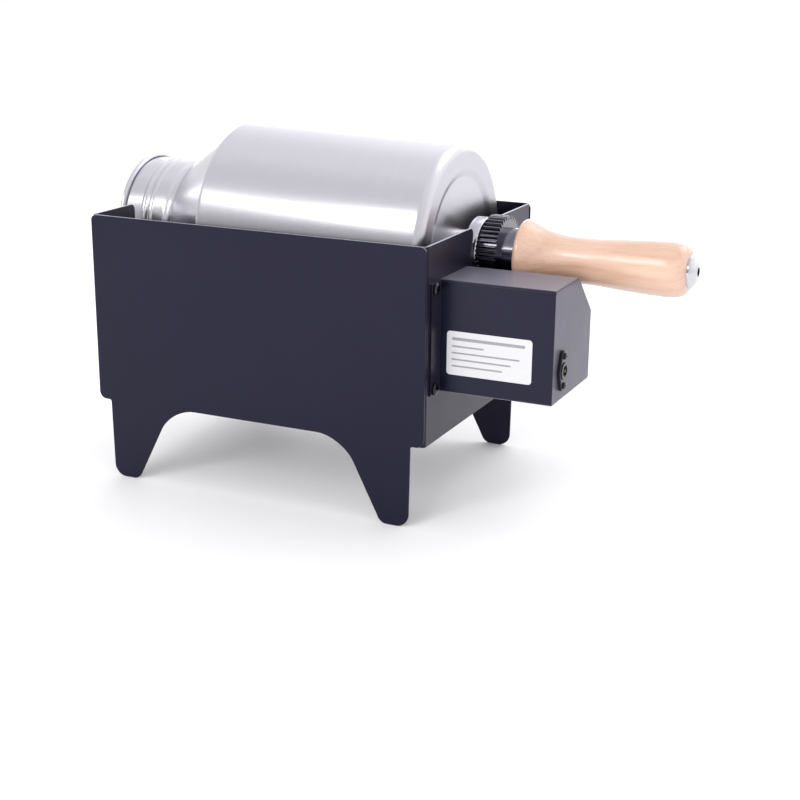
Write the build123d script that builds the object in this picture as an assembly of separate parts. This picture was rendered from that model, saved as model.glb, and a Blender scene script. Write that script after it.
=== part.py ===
# Table-top drum coffee roaster: a sheet-metal stand that sits over a burner, a bottle-shaped steel
# drum that lies in two open-top notches, and a geared motor in a box on the right end plate.
# Millimetres, +Z up. X runs along the drum, with the mouth at -X and the wooden handle at +X.
# Lengths below are measured from the middle of the stand; save() moves the origin to the
# bottom centre of the whole object.

import os
from math import acos, asin, atan2, cos, degrees, hypot, pi, radians, sin, sqrt, tan

from build123d import *

os.makedirs("parts", exist_ok=True)

# Stand
stand_length = 228.0
stand_width = 170.0
stand_height = 170.0
wall_bottom = 51.0
sheet = 1.5
wall_corner = 3.5
skirt_corner = 5.0
leg_top_x = 105.4
leg_foot_x = 104.6
foot_inner_x = 86.6
arch_top_x = 60.4
foot_outer_round = 8.0
foot_inner_round = 6.0
arch_round = 28.0
plate_flange = 12.0
bend_round = 1.75
plate_corner = 4.0

# Drum axis and drum shell, given by its outside radii
axis_y = 5.5
axis_z = 152.1
drum_wall = 1.0
mouth_x = -125.2
lip_radius = 43.0
lip_bead = 1.7
neck_radius = 42.0
neck_end_x = -94.6
valley_x = -90.2
valley_radius = 40.0
shoulder_x = -51.2
shoulder_radius = 70.1
drum_end_x = 98.5
drum_end_radius = 64.8
end_ring_inner = 49.5
end_disc_radius = 44.5
end_step = 1.5
bead_radius = 1.3
bead_places = (-110.0, -104.6)
vane_count = 3
vane_height = 13.0
vane_thickness = 1.0
vane_ends = (-42.0, 92.0)
vane_gap = 0.25
vane_tab = 58.0
vane_turn = 40.0

# Neck rollers on the left plate
roller_radius = 8.0
roller_width = 5.0
roller_angle = 40.0
roller_bore = 2.5
roller_play = 0.05
roller_gap = 0.15
roller_shoulder = 0.6
pin_head_radius = 3.6
pin_head = 1.2
neck_notch = 45.5
neck_notch_corner = 3.5

# Bearing in the right plate
bearing_outer = 21.0
bearing_bore = 10.0
bearing_left_x = 107.6
bearing_width = 8.0
bearing_seat_gap = 0.08
outer_ring_inside = 17.8
inner_ring_outside = 13.2
ball_pitch = 15.5
ball_radius = 2.5
ball_count = 9
race_gap = 0.06
shield_thickness = 0.4
bearing_notch_corner = 4.0

# Drive gear, pinion and shaft
gear_module = 1.0
gear_teeth = 44
pinion_teeth = 28
pressure_angle = 20.0
tooth_thinning = 0.05
centre_extra = 0.1
gear_left_x = 117.4
gear_right_x = 128.4
hub_radius = 15.8
pinion_left_x = 118.0
pinion_right_x = 127.6
shaft_hole = 8.0
shaft_boss_radius = 12.0
set_screw_radius = 2.0
set_screw_angle = -150.0

# Handle
handle_left_x = 138.5
handle_right_x = 242.0
handle_rim = 21.9
handle_rim_width = 3.5
handle_waist = 13.9
handle_waist_x = 178.5
handle_belly = 16.2
handle_belly_x = 222.0
handle_nose = 6.0
spigot_radius = 5.0
spigot_end_x = 238.0
bolt_head_radius = 10.2
bolt_head_height = 4.7
bolt_shank = 3.0
bolt_hex = 5.0

# Motor box
cover_sheet = 1.2
cover_right_x = 184.5
cover_front_y = -65.5
cover_rear_y = 2.1
cover_top_z = 148.2
cover_bottom_z = 81.0
slope_top_y = -23.4
slope_bottom_z = 123.9
cover_bend = 2.0
cover_flange = 13.0
flange_inset = 0.4
pinion_slot_half = 10.8
pinion_slot_x = 129.6
screw_head_radius = 3.5
screw_head = 2.4
screw_shank = 2.0

# Geared motor on its bracket
gearbox_radius = 18.5
gearbox_left_x = 131.5
gearbox_length = 19.0
gearbox_offset = 7.0
boss_radius = 6.0
boss_length = 3.2
output_radius = 3.0
output_depth = 12.0
output_play = 0.05
gearbox_screw_circle = 15.5
gearbox_screw_angles = (90, 210, 330)
can_radius = 16.7
can_length = 28.0
terminal_spread = 9.0
bracket_sheet = 2.0
bracket_face_radius = 18.6
bracket_half_width = 17.0
bracket_leg_z = 100.0
bracket_foot_z = 84.0
bracket_screw_spread = 10.0
bracket_screw_z = 91.0

# Power inlet
jack_y = -51.5
jack_z = 99.3
jack_middle = 6.6
jack_ear = 3.7
jack_ear_pitch = 8.4
jack_flange = 2.2
jack_collar = 5.2
jack_collar_height = 0.6
jack_barrel = 5.8
jack_depth = 13.0
jack_socket = 3.3
jack_socket_depth = 8.0
jack_sleeve_wall = 0.35
jack_pin_radius = 1.05
jack_screw_pitch = 8.8
jack_screw_head = 2.0
jack_screw_shank = 1.0
lead_radius = 0.9

drum_axis = (axis_y, axis_z)


def save(name, shape):
    solids = [Pos(-origin_x, 0, 0) * solid for solid in shape.solids()]
    export_step(Compound(solids), f"parts/{name}.step")


def bar(x0, x1, radius, axis=(0, 0)):
    return Pos(x0, *axis) * extrude(Plane.YZ * Circle(radius), x1 - x0)


def tube(x0, x1, outer, inner, axis=(0, 0)):
    return Pos(x0, *axis) * extrude(Plane.YZ * (Circle(outer) - Circle(inner)), x1 - x0)


def slab(x0, x1, y0, y1, z0, z1):
    return Pos((x0 + x1) / 2, (y0 + y1) / 2, (z0 + z1) / 2) * Box(x1 - x0, y1 - y0, z1 - z0)


def turned(profile, axis=drum_axis):
    """Spin a sketch drawn as (x, radius) about a line along X."""
    return Pos(0, *axis) * revolve(Plane.XZ * profile, Axis.X)


def around(axis, radius, angle):
    """A point at an angle round an X axis, from +Y towards +Z."""
    return (axis[0] + radius * cos(radians(angle)), axis[1] + radius * sin(radians(angle)))


def pan_screw(length, head_radius=screw_head_radius, head=screw_head, shank=screw_shank):
    """A screw that points along -X with its head's underside at x = 0."""
    dome = head * 0.45
    ball = (head_radius**2 + dome**2) / (2 * dome)
    lean = asin(head_radius / ball) / 2
    side = Polyline((head, 0), (0, 0), (0, head_radius), (head - dome, head_radius))
    crown = ThreePointArc(
        (head - dome, head_radius), (head - ball * (1 - cos(lean)), ball * sin(lean)), (head, 0)
    )
    return revolve(Plane.XZ * make_face([side, crown]), Axis.X) + bar(-length, 0, shank)


# Worked-out places

half_length = stand_length / 2
half_width = stand_width / 2
bearing_right_x = bearing_left_x + bearing_width
bolt_end_x = handle_right_x + bolt_head_height
origin_x = (mouth_x - lip_bead + bolt_end_x) / 2
disc_right_x = drum_end_x - end_step
disc_left_x = disc_right_x - drum_wall

# The sloped side of the motor box, its outward direction and the gears' line of centres across it
slope_run = hypot(cover_rear_y - slope_top_y, cover_top_z - slope_bottom_z)
slope_out_y = (cover_top_z - slope_bottom_z) / slope_run
slope_out_z = (cover_rear_y - slope_top_y) / slope_run
slope_angle = degrees(atan2(slope_out_z, slope_out_y))
slope_reach = (axis_y - slope_top_y) * slope_out_y + (axis_z - cover_top_z) * slope_out_z
centre_distance = gear_module * (gear_teeth + pinion_teeth) / 2 + centre_extra
mesh_angle = slope_angle + 180
pinion_axis = around(drum_axis, centre_distance, mesh_angle)
motor_axis = around(drum_axis, centre_distance + gearbox_offset, mesh_angle)

gearbox_right_x = gearbox_left_x + gearbox_length
can_right_x = gearbox_right_x + can_length
output_end_x = gearbox_left_x + output_depth
bracket_face_x = gearbox_left_x - bracket_sheet
bracket_screw_places = [
    (motor_axis[0] - bracket_screw_spread, bracket_screw_z),
    (motor_axis[0] + bracket_screw_spread, bracket_screw_z),
]
flange_middle = 8.5
flange_screw_inset = screw_head_radius + 0.2
cover_screw_places = [
    (cover_front_y - flange_middle, cover_top_z - flange_screw_inset),
    (cover_front_y - flange_middle, cover_bottom_z + flange_screw_inset),
    (cover_rear_y + flange_middle, slope_bottom_z - 8.0),
    (cover_rear_y + flange_middle, cover_bottom_z + flange_screw_inset),
]

roller_reach = neck_radius + roller_gap + roller_radius
roller_axes = [
    around(drum_axis, roller_reach, -90 - roller_angle),
    around(drum_axis, roller_reach, -90 + roller_angle),
]
roller_right_x = -half_length - roller_shoulder - 0.1
roller_left_x = roller_right_x - roller_width
plate_inner_x = -half_length + sheet


# Stand: the two long walls with their legs

def wall_outline():
    right = [
        (half_length, stand_height, wall_corner),
        (half_length, wall_bottom, skirt_corner),
        (leg_top_x, wall_bottom, 1.5),
        (leg_foot_x, 0, foot_outer_round),
        (foot_inner_x, 0, foot_inner_round),
        (arch_top_x, wall_bottom, arch_round),
    ]
    left = [(-x, z, r) for x, z, r in reversed(right)]
    corners = right + left
    points = [(x, z) for x, z, r in corners]
    return make_face(FilletPolyline(*points, radius=[r for x, z, r in corners], close=True))


def long_wall(outer_y):
    inward = 1 if outer_y < 0 else -1
    return Pos(0, outer_y, 0) * extrude(Plane.XZ * wall_outline(), -inward * sheet)


# Stand: the end plates, bent at both sides and notched from the top

def end_plate(side, notch_radius, notch_corner):
    inside_y = half_width - sheet / 2 - sheet
    face_x = half_length - sheet / 2
    flange_x = half_length - plate_flange
    path = FilletPolyline(
        (flange_x, -inside_y), (face_x, -inside_y), (face_x, inside_y), (flange_x, inside_y),
        radius=bend_round,
    )
    channel = extrude(trace(path, line_width=sheet), stand_height)
    blank = Pos(0, (wall_bottom + stand_height) / 2) * Rectangle(stand_width, stand_height - wall_bottom)
    notch_height = stand_height - axis_z
    notch = Pos(*drum_axis) * Circle(notch_radius)
    notch += Pos(axis_y, axis_z + notch_height / 2) * Rectangle(2 * notch_radius, notch_height)
    outline = blank - notch
    outer_corners = outline.vertices().group_by(Axis.Y)[-1].sort_by(Axis.X)
    outline = fillet([outer_corners[0], outer_corners[-1]], plate_corner)
    notch_corners = outline.vertices().filter_by(
        lambda v: abs(abs(v.X - axis_y) - notch_radius) < 0.01 and v.Y > stand_height - 0.01
    )
    outline = fillet(notch_corners, notch_corner)
    plate = channel & extrude(Plane.YZ * outline, stand_length)
    return plate if side > 0 else mirror(plate, Plane.YZ)


# Drum shell: one wall line from the mouth to the end disc, thickened and spun

def drum_line():
    half = drum_wall / 2
    points = [
        (mouth_x, neck_radius - half),
        (neck_end_x, neck_radius - half),
        (valley_x, valley_radius - half),
        (shoulder_x, shoulder_radius - half),
        (drum_end_x - half, drum_end_radius - half),
        (drum_end_x - half, end_ring_inner),
        (drum_end_x - half - end_step, end_disc_radius),
        (drum_end_x - half - end_step, shaft_hole),
    ]
    return FilletPolyline(*points, radius=[4.0, 5.0, 4.0, 6.0, 1.4, 1.4])


def drum_shell():
    wall = trace(drum_line(), line_width=drum_wall)
    wall += Pos(mouth_x, lip_radius) * Circle(lip_bead)
    for x in bead_places:
        wall += Pos(x, neck_radius - drum_wall / 2) * Circle(bead_radius)
    return turned(wall)


def drum_inside_radius(x):
    half = drum_wall / 2
    slope = (drum_end_radius - shoulder_radius) / (drum_end_x - half - shoulder_x)
    return shoulder_radius - half + slope * (x - shoulder_x) - half * sqrt(1 + slope**2)


def drum_vanes():
    """Flat strips welded to the end ring by a tab, a little clear of the drum's wall."""
    x0, x1 = vane_ends
    r0 = drum_inside_radius(x0) - vane_gap
    r1 = drum_inside_radius(x1) - vane_gap
    tab_x = drum_end_x - drum_wall
    outline = [
        (x0, r0), (x1, r1), (x1, vane_tab), (tab_x, vane_tab),
        (tab_x, r1 - vane_height), (x0 + vane_height, r0 - vane_height),
    ]
    blade = extrude(Plane.XZ * make_face(Polyline(*outline, close=True)), vane_thickness / 2, both=True)
    turns = [Rot(360 * index / vane_count + vane_turn, 0, 0) for index in range(vane_count)]
    return Compound(children=[Pos(0, *drum_axis) * turn * blade for turn in turns])


# Shaft that is welded into the drum's end disc and carries bearing, gear and handle

def drum_shaft():
    steps = [
        (disc_left_x, disc_right_x, shaft_hole),
        (disc_right_x, bearing_left_x, shaft_boss_radius),
        (bearing_left_x, handle_left_x, bearing_bore),
        (handle_left_x, spigot_end_x, spigot_radius),
    ]
    shaft = Part()
    for x0, x1, radius in steps:
        shaft += bar(x0, x1, radius, drum_axis)
    boss_rim = shaft.edges().filter_by(GeomType.CIRCLE).filter_by(
        lambda e: abs(e.radius - shaft_boss_radius) < 0.01 and e.center().X > disc_right_x + 1
    )
    shaft = chamfer(boss_rim, 1.2)
    return shaft - bar(spigot_end_x - 17, spigot_end_x, bolt_shank, drum_axis)


# Ball bearing: rings with a round groove, balls and two shields

def bearing_parts():
    middle_x = (bearing_left_x + bearing_right_x) / 2
    groove = turned(Pos(middle_x, ball_pitch) * Circle(ball_radius + race_gap))
    outer = tube(bearing_left_x, bearing_right_x, bearing_outer, outer_ring_inside, drum_axis)
    inner = tube(bearing_left_x, bearing_right_x, inner_ring_outside, bearing_bore, drum_axis)
    outer_rim = outer.edges().filter_by(GeomType.CIRCLE).filter_by(
        lambda e: abs(e.radius - bearing_outer) < 0.01
    )
    outer = chamfer(outer_rim, 0.5)
    balls = []
    for index in range(ball_count):
        y, z = around(drum_axis, ball_pitch, 360 * index / ball_count)
        balls.append(Pos(middle_x, y, z) * Sphere(ball_radius))
    shield_inner = inner_ring_outside + 0.25
    shields = []
    for x0 in (bearing_left_x + 0.3, bearing_right_x - 0.3 - shield_thickness):
        shields.append(tube(x0, x0 + shield_thickness, outer_ring_inside, shield_inner, drum_axis))
    return outer - groove, inner - groove, Compound(children=balls), Compound(children=shields)


# Spur gears with involute flanks

def gear_outline(teeth, tooth_angle):
    """Closed outline of a spur gear with one tooth centred on tooth_angle."""
    pitch = gear_module * teeth / 2
    base = pitch * cos(radians(pressure_angle))
    tip = pitch + gear_module
    root = pitch - 1.25 * gear_module
    middle = (base + tip) / 2

    def involute(radius):
        lean = acos(base / radius)
        return tan(lean) - lean

    def half_tooth(radius):
        thickness = pi / (2 * teeth) - tooth_thinning / pitch
        return thickness + involute(pitch) - involute(max(radius, base))

    def flank(radius, centre, side):
        angle = centre + side * half_tooth(radius)
        return (radius * cos(angle), radius * sin(angle))

    edges = []
    for index in range(teeth):
        centre = radians(tooth_angle) + 2 * pi * index / teeth
        rise = [flank(radius, centre, -1) for radius in (root, base, middle, tip)]
        fall = [flank(radius, centre, 1) for radius in (tip, middle, base, root)]
        next_root = flank(root, centre + 2 * pi / teeth, -1)
        edges += [Line(rise[0], rise[1]), ThreePointArc(*rise[1:]), Line(rise[3], fall[0])]
        edges += [ThreePointArc(*fall[:3]), Line(fall[2], fall[3]), Line(fall[3], next_root)]
    return make_face(edges)


def hub_radial(shape):
    """Move a shape from the Z axis to the drive hub's set-screw hole."""
    return Pos((gear_right_x + handle_left_x) / 2, *drum_axis) * Rot(set_screw_angle, 0, 0) * shape


def drive_gear():
    teeth = Plane.YZ * gear_outline(gear_teeth, mesh_angle)
    gear = Pos(gear_left_x, *drum_axis) * extrude(teeth, gear_right_x - gear_left_x)
    gear += bar(gear_right_x, handle_left_x, hub_radius, drum_axis)
    gear += bar(bearing_right_x, gear_left_x, inner_ring_outside - 0.4, drum_axis)
    gear -= bar(bearing_right_x, handle_left_x, bearing_bore, drum_axis)
    return gear - hub_radial(Pos(0, 0, bearing_bore) * extrude(Circle(set_screw_radius), hub_radius))


def gear_set_screw():
    length = hub_radius - bearing_bore - 0.8
    screw = extrude(Circle(set_screw_radius), length)
    screw -= Pos(0, 0, length - 1.8) * extrude(RegularPolygon(1.15, 6), 1.8)
    return hub_radial(Pos(0, 0, bearing_bore) * screw)


def drive_pinion():
    tooth_angle = mesh_angle + 180 + 180 / pinion_teeth
    teeth = Plane.YZ * gear_outline(pinion_teeth, tooth_angle)
    pinion = Pos(pinion_left_x, *pinion_axis) * extrude(teeth, pinion_right_x - pinion_left_x)
    pinion -= tube(pinion_left_x, pinion_left_x + 2, 10.8, 6.0, pinion_axis)
    return pinion - bar(pinion_left_x, pinion_right_x, output_radius, pinion_axis)


# Turned wooden handle and the bolt that clamps it

def wooden_handle():
    rim_x = handle_left_x + handle_rim_width
    nose_x = handle_right_x - handle_nose
    nose_radius = handle_belly - 0.3
    end_radius = bolt_head_radius + 0.4
    bore = Polyline(
        (handle_right_x, end_radius), (handle_right_x, spigot_radius),
        (handle_left_x, spigot_radius), (handle_left_x, handle_rim - 1),
    )
    edge = ThreePointArc(
        (handle_left_x, handle_rim - 1), (handle_left_x + 0.3, handle_rim - 0.3),
        (handle_left_x + 1, handle_rim),
    )
    rim = Line((handle_left_x + 1, handle_rim), (rim_x, handle_rim))
    body = Spline(
        (rim_x, handle_rim), (rim_x + 10.4, handle_waist + 3.3), (rim_x + 18, handle_waist + 1.4),
        (handle_waist_x, handle_waist), (handle_belly_x, handle_belly), (nose_x, nose_radius),
        tangents=[(1, -0.25), (1, -0.08)],
    )
    nose = ThreePointArc(
        (nose_x, nose_radius), (handle_right_x - 1.6, nose_radius - 1.9), (handle_right_x, end_radius)
    )
    return turned(make_face([bore, edge, rim, body, nose]))


def handle_bolt():
    left = handle_right_x
    crown_x = left + bolt_head_height
    outline = Polyline((left, 0), (left, bolt_head_radius), (left + 1.2, bolt_head_radius))
    crown = ThreePointArc((left + 1.2, bolt_head_radius), (left + 3.5, 7.2), (crown_x, 3.6))
    close = Polyline((crown_x, 3.6), (crown_x, 0), (left, 0))
    bolt = turned(make_face([outline, crown, close]))
    bolt += bar(left - 20, left, bolt_shank, drum_axis)
    hexagon = Plane.YZ * RegularPolygon(bolt_hex / 2, 6, major_radius=False)
    return bolt - Pos(crown_x - 2.6, *drum_axis) * extrude(hexagon, 2.7)


# Rollers that carry the neck, on studs riveted to the left plate

def neck_roller(axis):
    roller = tube(roller_left_x, roller_right_x, roller_radius, roller_bore, axis)
    rim = roller.edges().filter_by(GeomType.CIRCLE).filter_by(
        lambda e: abs(e.radius - roller_radius) < 0.01
    )
    roller = chamfer(rim, 0.4)
    recess = tube(roller_left_x, roller_left_x + 0.5, roller_radius - 1.6, roller_bore + 1.4, axis)
    return roller - recess


def roller_pin(axis):
    shank = roller_bore - roller_play
    pin = bar(roller_left_x - 0.1, plate_inner_x, shank, axis)
    pin += bar(-half_length - roller_shoulder, -half_length, pin_head_radius, axis)
    pin += bar(plate_inner_x, plate_inner_x + pin_head, pin_head_radius + 0.6, axis)
    return pin + bar(roller_left_x - 0.1 - pin_head, roller_left_x - 0.1, pin_head_radius, axis)


# Motor cover: a bent box, open towards the plate, with screw flanges

def cover_profile(inset, corner):
    """The cover's five-sided section, drawn as (y, z)."""
    drop = tan(atan2(cover_top_z - slope_bottom_z, cover_rear_y - slope_top_y) / 2)
    rise = tan(atan2(cover_rear_y - slope_top_y, cover_top_z - slope_bottom_z) / 2)
    points = [
        (cover_front_y + inset, cover_bottom_z + inset),
        (cover_rear_y - inset, cover_bottom_z + inset),
        (cover_rear_y - inset, slope_bottom_z - inset * rise),
        (slope_top_y - inset * drop, cover_top_z - inset),
        (cover_front_y + inset, cover_top_z - inset),
    ]
    return make_face(FilletPolyline(*points, radius=corner, close=True))


def motor_cover():
    shell = Pos(half_length, 0, 0) * extrude(
        Plane.YZ * cover_profile(0, cover_bend), cover_right_x - half_length
    )
    shell = fillet(shell.faces().sort_by(Axis.X)[-1].edges(), 1.0)
    cavity = extrude(
        Plane.YZ * cover_profile(cover_sheet, cover_bend - cover_sheet),
        cover_right_x - cover_sheet - half_length,
    )
    flange_right = half_length + cover_sheet
    shell += slab(
        half_length, flange_right,
        cover_front_y - cover_flange, cover_front_y + cover_sheet,
        cover_bottom_z + flange_inset, cover_top_z - flange_inset,
    )
    shell += slab(
        half_length, flange_right,
        cover_rear_y - cover_sheet, cover_rear_y + cover_flange,
        cover_bottom_z + flange_inset, slope_bottom_z - flange_inset,
    )
    shell -= Pos(half_length, 0, 0) * cavity
    for y, z in cover_screw_places:
        shell -= bar(half_length, flange_right, screw_shank, (y, z))
    slot = Box(2 * (pinion_slot_x - half_length), 8, 2 * pinion_slot_half)
    shell -= Pos(half_length, *around(drum_axis, slope_reach, mesh_angle)) * Rot(slope_angle, 0, 0) * slot
    wall = cover_right_x - cover_sheet
    shell -= bar(wall, cover_right_x, jack_barrel, (jack_y, jack_z))
    for side in (-1, 1):
        shell -= bar(wall, cover_right_x, jack_screw_shank, (jack_y, jack_z + side * jack_screw_pitch))
    return shell


# Geared motor and its Z-shaped bracket

def gearbox():
    body = bar(gearbox_left_x, gearbox_right_x, gearbox_radius, motor_axis)
    body += bar(gearbox_left_x - boss_length, gearbox_left_x, boss_radius, pinion_axis)
    seam_x = gearbox_right_x - 2.5
    body -= tube(seam_x - 0.4, seam_x, gearbox_radius, gearbox_radius - 0.4, motor_axis)
    body -= bar(gearbox_left_x - boss_length, output_end_x + 0.2, output_radius + output_play, pinion_axis)
    for angle in gearbox_screw_angles:
        body -= bar(
            gearbox_left_x, gearbox_left_x + 4, 1.5, around(motor_axis, gearbox_screw_circle, angle)
        )
    return body


def gearbox_screws():
    screws = []
    for angle in gearbox_screw_angles:
        y, z = around(motor_axis, gearbox_screw_circle, angle)
        screw = mirror(pan_screw(bracket_sheet + 4, 2.7, 1.8, 1.5), Plane.YZ)
        screws.append(Pos(bracket_face_x, y, z) * screw)
    return Compound(children=screws)


def motor_can():
    can = bar(gearbox_right_x, can_right_x, can_radius, motor_axis)
    rim = can.edges().filter_by(GeomType.CIRCLE).sort_by(Axis.X)[-1]
    can = fillet(rim, 1.5)
    return can + bar(can_right_x, can_right_x + 1.5, 5.0, motor_axis)


def motor_terminals():
    tabs = []
    for side in (-1, 1):
        tab = Box(3.0, 0.8, 4.0)
        tabs.append(Pos(can_right_x + 1.5, motor_axis[0] + side * terminal_spread, motor_axis[1]) * tab)
    return Compound(children=tabs)


def motor_bracket():
    y0 = motor_axis[0] - bracket_half_width
    y1 = motor_axis[0] + bracket_half_width
    foot_right = half_length + bracket_sheet
    foot = slab(half_length, foot_right, y0, y1, bracket_foot_z, bracket_leg_z)
    leg = slab(half_length, gearbox_left_x, y0, y1, bracket_leg_z - bracket_sheet, bracket_leg_z)
    face = Pos(*motor_axis) * Circle(bracket_face_radius)
    face_height = motor_axis[1] - bracket_leg_z + bracket_sheet
    face += Pos(motor_axis[0], motor_axis[1] - face_height / 2) * Rectangle(
        2 * bracket_half_width, face_height
    )
    face -= Pos(*pinion_axis) * Circle(boss_radius + 0.2)
    for angle in gearbox_screw_angles:
        face -= Pos(*around(motor_axis, gearbox_screw_circle, angle)) * Circle(1.5)
    bracket = foot + leg + Pos(bracket_face_x, 0, 0) * extrude(Plane.YZ * face, bracket_sheet)
    for spot in bracket_screw_places:
        bracket -= bar(half_length, foot_right, screw_shank, spot)
    return bracket


def bracket_screws():
    screws = []
    for y, z in bracket_screw_places:
        screw = mirror(pan_screw(sheet + bracket_sheet), Plane.YZ)
        screws.append(Pos(half_length - sheet, y, z) * screw)
    return Compound(children=screws)


def cover_screws():
    screws = []
    for y, z in cover_screw_places:
        screws.append(Pos(half_length + cover_sheet, y, z) * pan_screw(cover_sheet + sheet + 2.5))
    return Compound(children=screws)


def output_shaft():
    return bar(pinion_left_x - 0.4, output_end_x, output_radius, pinion_axis)


# Power inlet on the cover's right wall, and its leads

def power_jack():
    """An inlet with an oval flange, a round collar and a barrel through the cover's wall."""
    centre = (jack_y, jack_z)
    front_x = cover_right_x + jack_flange + jack_collar_height
    floor_x = cover_right_x - jack_socket_depth
    ears = [Pos(0, side * jack_ear_pitch) * Circle(jack_ear) for side in (-1, 1)]
    outline = make_hull(Circle(jack_middle).edges() + ears[0].edges() + ears[1].edges())
    jack = Pos(cover_right_x, *centre) * extrude(Plane.YZ * outline, jack_flange)
    jack = chamfer(jack.faces().sort_by(Axis.X)[-1].edges(), 0.4)
    jack += bar(cover_right_x, front_x, jack_collar, centre)
    jack += bar(cover_right_x - jack_depth, cover_right_x, jack_barrel, centre)
    jack -= bar(floor_x, front_x, jack_socket, centre)
    jack -= bar(floor_x - 2.0, floor_x, jack_pin_radius, centre)
    for side in (-1, 1):
        hole = (jack_y, jack_z + side * jack_screw_pitch)
        jack -= bar(cover_right_x, cover_right_x + jack_flange, jack_screw_shank, hole)
    return jack


def jack_sleeve():
    inside = jack_socket - jack_sleeve_wall
    return tube(
        cover_right_x - jack_socket_depth, cover_right_x + jack_flange, jack_socket, inside, (jack_y, jack_z)
    )


def jack_pin():
    left_x = cover_right_x - jack_socket_depth - 2.0
    return bar(left_x, cover_right_x + 1.0, jack_pin_radius, (jack_y, jack_z))


def jack_screws():
    screws = []
    length = jack_flange + cover_sheet + 3.0
    for side in (-1, 1):
        screw = pan_screw(length, jack_screw_head, 1.2, jack_screw_shank)
        screws.append(Pos(cover_right_x + jack_flange, jack_y, jack_z + side * jack_screw_pitch) * screw)
    return Compound(children=screws)


def jack_nuts():
    nuts = []
    wall = cover_right_x - cover_sheet
    for side in (-1, 1):
        nut = Plane.YZ * (RegularPolygon(2.0, 6, major_radius=False) - Circle(jack_screw_shank))
        nuts.append(Pos(wall - 1.6, jack_y, jack_z + side * jack_screw_pitch) * extrude(nut, 1.6))
    return Compound(children=nuts)


def motor_leads():
    tail_x = cover_right_x - jack_depth
    leads = []
    for side in (-1, 1):
        start = Vector(can_right_x + 2.0, motor_axis[0] + side * terminal_spread, motor_axis[1] - 2.0)
        end = Vector(tail_x, jack_y + side * 2.6, jack_z)
        down = Vector(start.X, start.Y, 103.0 - 2.5 * side)
        turn = Vector(tail_x - 9.0, start.Y - 4.0, 96.0 - 2.0 * side)
        back = Vector(tail_x - 9.0, end.Y, end.Z)
        path = FilletPolyline(start, down, turn, back, end, radius=[5.0, 4.0, 3.5])
        leads.append(sweep(Plane(start, z_dir=(0, 0, -1)) * Circle(lead_radius), path=path))
    return Compound(children=leads)


def build():
    notched_left = end_plate(-1, neck_notch, neck_notch_corner)
    for axis in roller_axes:
        notched_left -= bar(-half_length, plate_inner_x, roller_bore - roller_play, axis)
    notched_right = end_plate(1, bearing_outer + bearing_seat_gap, bearing_notch_corner)
    for spot in cover_screw_places + bracket_screw_places:
        notched_right -= bar(half_length - sheet, half_length, screw_shank, spot)
    outer_ring, inner_ring, balls, shields = bearing_parts()
    return {
        "front_panel": long_wall(-half_width),
        "rear_panel": long_wall(half_width),
        "left_end_plate": notched_left,
        "right_end_plate": notched_right,
        "roller_pins": Compound(children=[roller_pin(axis) for axis in roller_axes]),
        "front_roller": neck_roller(roller_axes[0]),
        "rear_roller": neck_roller(roller_axes[1]),
        "motor_cover": motor_cover(),
        "cover_screws": cover_screws(),
        "motor_bracket": motor_bracket(),
        "bracket_screws": bracket_screws(),
        "gearbox": gearbox(),
        "gearbox_screws": gearbox_screws(),
        "motor_can": motor_can(),
        "motor_terminals": motor_terminals(),
        "output_shaft": output_shaft(),
        "drive_pinion": drive_pinion(),
        "power_jack": power_jack(),
        "jack_sleeve": jack_sleeve(),
        "jack_pin": jack_pin(),
        "jack_screws": jack_screws(),
        "jack_nuts": jack_nuts(),
        "motor_leads": motor_leads(),
        "drum_shell": drum_shell(),
        "drum_vanes": drum_vanes(),
        "drum_shaft": drum_shaft(),
        "bearing_outer_ring": outer_ring,
        "bearing_inner_ring": inner_ring,
        "bearing_balls": balls,
        "bearing_shields": shields,
        "drive_gear": drive_gear(),
        "gear_set_screw": gear_set_screw(),
        "wooden_handle": wooden_handle(),
        "handle_bolt": handle_bolt(),
    }


for node_name, node_shape in build().items():
    save(node_name, node_shape)
    print(node_name)
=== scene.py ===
import bpy
import bmesh
from math import cos, pi, radians, sin, tan
from mathutils import Matrix, Vector


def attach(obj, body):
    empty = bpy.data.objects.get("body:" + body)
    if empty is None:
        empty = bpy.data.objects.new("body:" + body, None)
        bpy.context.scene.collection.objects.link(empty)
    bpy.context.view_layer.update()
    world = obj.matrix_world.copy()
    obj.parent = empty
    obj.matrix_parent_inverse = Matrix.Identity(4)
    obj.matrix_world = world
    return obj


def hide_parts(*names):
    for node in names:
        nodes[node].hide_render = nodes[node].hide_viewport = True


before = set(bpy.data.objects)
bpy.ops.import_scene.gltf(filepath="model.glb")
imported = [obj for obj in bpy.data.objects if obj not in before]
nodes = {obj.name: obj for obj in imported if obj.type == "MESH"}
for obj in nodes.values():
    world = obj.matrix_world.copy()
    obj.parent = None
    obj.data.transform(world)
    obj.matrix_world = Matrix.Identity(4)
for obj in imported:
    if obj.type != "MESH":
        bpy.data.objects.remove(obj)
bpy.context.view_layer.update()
scene = bpy.context.scene
mm = 0.001
touch = 0.01 * mm  # points closer than this are taken as one
standMiddle = -59.9  # the stand's middle along X in the row frame
drumAxis = (5.5, 152.1)  # y and z of the line that the drum turns about
print("frame loaded,", len(nodes), "nodes")


def spot(x, y, z):  # millimetres from the stand's middle to metres in the row frame
    return Vector(((x + standMiddle) * mm, y * mm, z * mm))


def clearSelection():
    if bpy.context.mode != "OBJECT":
        bpy.ops.object.mode_set(mode="OBJECT")
    bpy.ops.object.select_all(action="DESELECT")


def makeActive(obj):
    clearSelection()
    obj.select_set(True)
    bpy.context.view_layer.objects.active = obj


def openMesh(obj):
    makeActive(obj)
    bpy.ops.object.mode_set(mode="EDIT")


def closeMesh():
    bpy.ops.object.mode_set(mode="OBJECT")


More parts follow.
